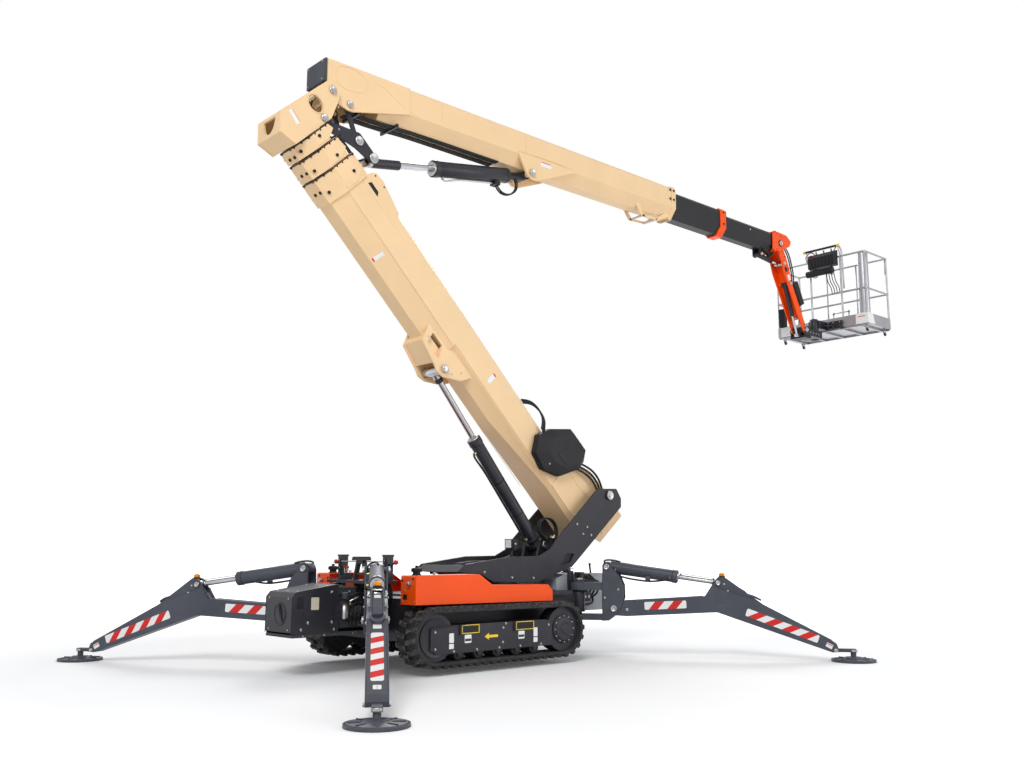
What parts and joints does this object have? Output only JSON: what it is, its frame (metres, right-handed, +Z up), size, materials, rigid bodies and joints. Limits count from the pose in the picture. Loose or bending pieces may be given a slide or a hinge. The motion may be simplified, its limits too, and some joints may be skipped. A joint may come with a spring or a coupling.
{
  "type": "compact crawler boom lift",
  "caption": "Tracked spider boom lift on four outriggers, with a telescopic main boom, a telescopic second boom folded back level above it, a jib and a work basket.",
  "frame": {"origin": "on the ground under the slew axis", "axes": "+Z up, +X towards the machine's rear, where the basket hangs, +Y away from the picture's camera"},
  "size_m": [12.7003, 6.8038, 6.7246],
  "materials": {
    "cream_paint": "satin",
    "dark_paint": "satin",
    "orange_paint": "gloss",
    "black_paint": "satin",
    "track_rubber": "matte",
    "rod_chrome": "polished",
    "engine_metal": "matte",
    "basket_metal": "satin",
    "black_plastic": "matte",
    "tank_grey": "matte",
    "cap_plastic": "matte"
  },
  "bodies": {
    "chassis": {"chassis_frame": "dark_paint", "track_near": "track_rubber", "track_far": "track_rubber", "track_frame_near": "dark_paint", "track_frame_far": "dark_paint", "side_cover_near": "orange_paint", "side_cover_far": "orange_paint", "engine_hood": "dark_paint", "engine_block": "engine_metal", "control_posts": "dark_paint", "rear_tank": "tank_grey"},
    "turret": {"turret": "dark_paint", "work_light": "black_plastic"},
    "luff_barrel": {"luff_barrel": "dark_paint"},
    "luff_rod": {"luff_rod": "rod_chrome"},
    "boom_1": {"boom_section_1": "cream_paint", "hose_housing": "black_plastic"},
    "boom_2": {"boom_section_2": "cream_paint"},
    "boom_3": {"boom_section_3": "cream_paint"},
    "boom_4": {"boom_head": "cream_paint"},
    "lever": {"elbow_lever": "dark_paint"},
    "links": {"elbow_links": "dark_paint"},
    "elbow_barrel": {"elbow_barrel": "dark_paint"},
    "elbow_rod": {"elbow_rod": "rod_chrome"},
    "arm": {"arm_outer": "cream_paint", "arm_end_cap": "cap_plastic"},
    "arm_mid": {"arm_middle": "black_paint", "arm_middle_collar": "orange_paint"},
    "arm_tip": {"arm_inner": "black_paint", "jib_fork": "orange_paint"},
    "jib": {"jib": "orange_paint"},
    "jib_barrel": {"jib_barrel": "dark_paint"},
    "jib_rod": {"jib_rod": "rod_chrome"},
    "level_barrel": {"level_barrel": "dark_paint"},
    "level_rod": {"level_rod": "rod_chrome"},
    "carrier": {"basket_carrier": "dark_paint"},
    "basket": {"basket": "basket_metal", "basket_bracket": "dark_paint", "control_console": "black_plastic"},
    "yoke_near_front": {"yoke_near_front": "dark_paint"},
    "leg_near_front": {"leg_near_front": "dark_paint", "pad_near_front": "dark_paint"},
    "lift_barrel_near_front": {"lift_barrel_near_front": "dark_paint"},
    "lift_rod_near_front": {"lift_rod_near_front": "rod_chrome"},
    "yoke_far_front": {"yoke_far_front": "dark_paint"},
    "leg_far_front": {"leg_far_front": "dark_paint", "pad_far_front": "dark_paint"},
    "lift_barrel_far_front": {"lift_barrel_far_front": "dark_paint"},
    "lift_rod_far_front": {"lift_rod_far_front": "rod_chrome"},
    "yoke_near_rear": {"yoke_near_rear": "dark_paint"},
    "leg_near_rear": {"leg_near_rear": "dark_paint", "pad_near_rear": "dark_paint"},
    "lift_barrel_near_rear": {"lift_barrel_near_rear": "dark_paint"},
    "lift_rod_near_rear": {"lift_rod_near_rear": "rod_chrome"},
    "yoke_far_rear": {"yoke_far_rear": "dark_paint"},
    "leg_far_rear": {"leg_far_rear": "dark_paint", "pad_far_rear": "dark_paint"},
    "lift_barrel_far_rear": {"lift_barrel_far_rear": "dark_paint"},
    "lift_rod_far_rear": {"lift_rod_far_rear": "rod_chrome"}
  },
  "joints": [
    {"name": "slew", "type": "hinge", "parent": "chassis", "child": "turret", "pos_m": [0, 0, 0.869], "axis": [0, 0, 1], "range_deg": [-180, 180]},
    {"name": "luff", "type": "hinge", "parent": "turret", "child": "boom_1", "pos_m": [1.82, 0, 1.976], "axis": [0, 1, 0], "range_deg": [-40, 32]},
    {"name": "luff_rod_pin", "type": "hinge", "parent": "boom_1", "child": "luff_rod", "pos_m": [-0.77994, 0, 3.37477], "axis": [0, 1, 0], "range_deg": [-3.32, 2.68]},
    {"name": "luff_barrel_slide", "type": "slide", "parent": "luff_rod", "child": "luff_barrel", "axis": [0.6351, 0, -0.7724], "range_m": [-0.7595, 0.6129]},
    {"name": "main_extend", "type": "slide", "parent": "boom_1", "child": "boom_2", "axis": [-0.7009, 0, 0.7133], "range_m": [0, 4]},
    {"name": "main_extend_3", "type": "slide", "parent": "boom_2", "child": "boom_3", "axis": [-0.7009, 0, 0.7133], "range_m": [0, 4]},
    {"name": "main_extend_4", "type": "slide", "parent": "boom_3", "child": "boom_4", "axis": [-0.7009, 0, 0.7133], "range_m": [0, 4]},
    {"name": "elbow", "type": "hinge", "parent": "boom_4", "child": "arm", "pos_m": [-2.44153, 0, 6.31256], "axis": [0, -1, 0], "range_deg": [-20, 114]},
    {"name": "lever_pin", "type": "hinge", "parent": "boom_4", "child": "lever", "pos_m": [-2.53512, 0, 5.95981], "axis": [0, -1, 0], "range_deg": [-11.27, 57.96]},
    {"name": "link_pin", "type": "hinge", "parent": "arm", "child": "links", "pos_m": [-2.18153, 0, 6.24156], "axis": [0, -1, 0], "range_deg": [-99.18, 19.28]},
    {"name": "elbow_barrel_pin", "type": "hinge", "parent": "arm", "child": "elbow_barrel", "pos_m": [0.65947, 0, 6.17056], "axis": [0, -1, 0], "range_deg": [-0.35, 1.76]},
    {"name": "elbow_rod_slide", "type": "slide", "parent": "elbow_barrel", "child": "elbow_rod", "axis": [-0.9831, 0, -0.1829], "range_m": [-0.1646, 0.8462]},
    {"name": "arm_extend", "type": "slide", "parent": "arm", "child": "arm_mid", "axis": [1, 0, 0], "range_m": [-1, 1]},
    {"name": "arm_extend_2", "type": "slide", "parent": "arm_mid", "child": "arm_tip", "axis": [1, 0, 0], "range_m": [-1, 1]},
    {"name": "jib", "type": "hinge", "parent": "arm_tip", "child": "jib", "pos_m": [6.57047, 0, 6.45456], "axis": [0, -1, 0], "range_deg": [-20, 70]},
    {"name": "jib_barrel_pin", "type": "hinge", "parent": "arm_tip", "child": "jib_barrel", "pos_m": [6.10347, 0, 6.19756], "axis": [0, -1, 0], "range_deg": [-7.52, 24.76]},
    {"name": "jib_rod_slide", "type": "slide", "parent": "jib_barrel", "child": "jib_rod", "axis": [0.9954, 0, -0.0958], "range_m": [-0.0877, 0.2888]},
    {"name": "level", "type": "hinge", "parent": "jib", "child": "carrier", "pos_m": [7.28596, 0, 5.05034], "axis": [0, 1, 0], "range_deg": [-27, 110]},
    {"name": "level_barrel_pin", "type": "hinge", "parent": "jib", "child": "level_barrel", "pos_m": [6.89734, 0, 5.81304], "axis": [0, 1, 0], "range_deg": [-2.19, 0.58]},
    {"name": "level_rod_slide", "type": "slide", "parent": "level_barrel", "child": "level_rod", "axis": [0.3567, 0, -0.9342], "range_m": [-0.1843, 0.0487]},
    {"name": "basket_turn", "type": "hinge", "parent": "carrier", "child": "basket", "pos_m": [7.78996, 0, 5.085], "axis": [0, 0, 1], "range_deg": [-62, 62]},
    {"name": "swing_near_front", "type": "hinge", "parent": "chassis", "child": "yoke_near_front", "pos_m": [-1.8, -0.37, 0.575], "axis": [0, 0, -1], "range_deg": [-15, 45]},
    {"name": "leg_near_front", "type": "hinge", "parent": "yoke_near_front", "child": "leg_near_front", "pos_m": [-2.04795, -0.73348, 0.575], "axis": [-0.8261, 0.5635, 0], "range_deg": [-4, 45]},
    {"name": "lift_barrel_pin_near_front", "type": "hinge", "parent": "yoke_near_front", "child": "lift_barrel_near_front", "pos_m": [-2.00287, -0.66739, 1.07], "axis": [-0.8261, 0.5635, 0], "range_deg": [-5.24, 48.28]},
    {"name": "lift_rod_slide_near_front", "type": "slide", "parent": "lift_barrel_near_front", "child": "lift_rod_near_front", "axis": [-0.5582, -0.8182, -0.1378], "range_m": [-0.3853, 0.0418]},
    {"name": "swing_far_front", "type": "hinge", "parent": "chassis", "child": "yoke_far_front", "pos_m": [-1.8, 0.37, 0.575], "axis": [0, 0, 1], "range_deg": [-15, 45]},
    {"name": "leg_far_front", "type": "hinge", "parent": "yoke_far_front", "child": "leg_far_front", "pos_m": [-2.04795, 0.73348, 0.575], "axis": [0.8261, 0.5635, 0], "range_deg": [-4, 45]},
    {"name": "lift_barrel_pin_far_front", "type": "hinge", "parent": "yoke_far_front", "child": "lift_barrel_far_front", "pos_m": [-2.00287, 0.66739, 1.07], "axis": [0.8261, 0.5635, 0], "range_deg": [-5.24, 48.28]},
    {"name": "lift_rod_slide_far_front", "type": "slide", "parent": "lift_barrel_far_front", "child": "lift_rod_far_front", "axis": [-0.5582, 0.8182, -0.1378], "range_m": [-0.3853, 0.0418]},
    {"name": "swing_near_rear", "type": "hinge", "parent": "chassis", "child": "yoke_near_rear", "pos_m": [1.1, -0.55, 0.575], "axis": [0, 0, 1], "range_deg": [-25, 45]},
    {"name": "leg_near_rear", "type": "hinge", "parent": "yoke_near_rear", "child": "leg_near_rear", "pos_m": [1.35613, -0.90776, 0.575], "axis": [-0.8131, -0.5821, 0], "range_deg": [-4, 45]},
    {"name": "lift_barrel_pin_near_rear", "type": "hinge", "parent": "yoke_near_rear", "child": "lift_barrel_near_rear", "pos_m": [1.30956, -0.84272, 1.07], "axis": [-0.8131, -0.5821, 0], "range_deg": [-5.24, 48.28]},
    {"name": "lift_rod_slide_near_rear", "type": "slide", "parent": "lift_barrel_near_rear", "child": "lift_rod_near_rear", "axis": [0.5766, -0.8053, -0.1378], "range_m": [-0.3853, 0.0418]},
    {"name": "swing_far_rear", "type": "hinge", "parent": "chassis", "child": "yoke_far_rear", "pos_m": [1.1, 0.55, 0.575], "axis": [0, 0, -1], "range_deg": [-25, 45]},
    {"name": "leg_far_rear", "type": "hinge", "parent": "yoke_far_rear", "child": "leg_far_rear", "pos_m": [1.35613, 0.90776, 0.575], "axis": [0.8131, -0.5821, 0], "range_deg": [-4, 45]},
    {"name": "lift_barrel_pin_far_rear", "type": "hinge", "parent": "yoke_far_rear", "child": "lift_barrel_far_rear", "pos_m": [1.30956, 0.84272, 1.07], "axis": [0.8131, -0.5821, 0], "range_deg": [-5.24, 48.28]},
    {"name": "lift_rod_slide_far_rear", "type": "slide", "parent": "lift_barrel_far_rear", "child": "lift_rod_far_rear", "axis": [0.5766, 0.8053, -0.1378], "range_m": [-0.3853, 0.0418]}
  ],
  "couplings": [
    {"joint": "luff_rod_pin", "follows": "luff", "ratio": 0.08},
    {"joint": "luff_barrel_slide", "follows": "luff", "m_per_rad": 1.05},
    {"joint": "main_extend_3", "follows": "main_extend", "ratio": 1},
    {"joint": "main_extend_4", "follows": "main_extend", "ratio": 1},
    {"joint": "lever_pin", "follows": "elbow", "ratio": 0.4967},
    {"joint": "link_pin", "follows": "elbow", "ratio": -0.85},
    {"joint": "elbow_barrel_pin", "follows": "elbow", "ratio": 0.015},
    {"joint": "elbow_rod_slide", "follows": "elbow", "m_per_rad": 0.4155},
    {"joint": "arm_extend_2", "follows": "arm_extend", "ratio": 1},
    {"joint": "jib_barrel_pin", "follows": "jib", "ratio": 0.34478},
    {"joint": "jib_rod_slide", "follows": "jib", "m_per_rad": 0.23036},
    {"joint": "level_barrel_pin", "follows": "level", "ratio": -0.019335},
    {"joint": "level_rod_slide", "follows": "level", "m_per_rad": -0.093625},
    {"joint": "lift_barrel_pin_near_front", "follows": "leg_near_front", "ratio": 1.05},
    {"joint": "lift_rod_slide_near_front", "follows": "leg_near_front", "m_per_rad": -0.48},
    {"joint": "lift_barrel_pin_far_front", "follows": "leg_far_front", "ratio": 1.05},
    {"joint": "lift_rod_slide_far_front", "follows": "leg_far_front", "m_per_rad": -0.48},
    {"joint": "lift_barrel_pin_near_rear", "follows": "leg_near_rear", "ratio": 1.05},
    {"joint": "lift_rod_slide_near_rear", "follows": "leg_near_rear", "m_per_rad": -0.48},
    {"joint": "lift_barrel_pin_far_rear", "follows": "leg_far_rear", "ratio": 1.05},
    {"joint": "lift_rod_slide_far_rear", "follows": "leg_far_rear", "m_per_rad": -0.48}
  ]
}
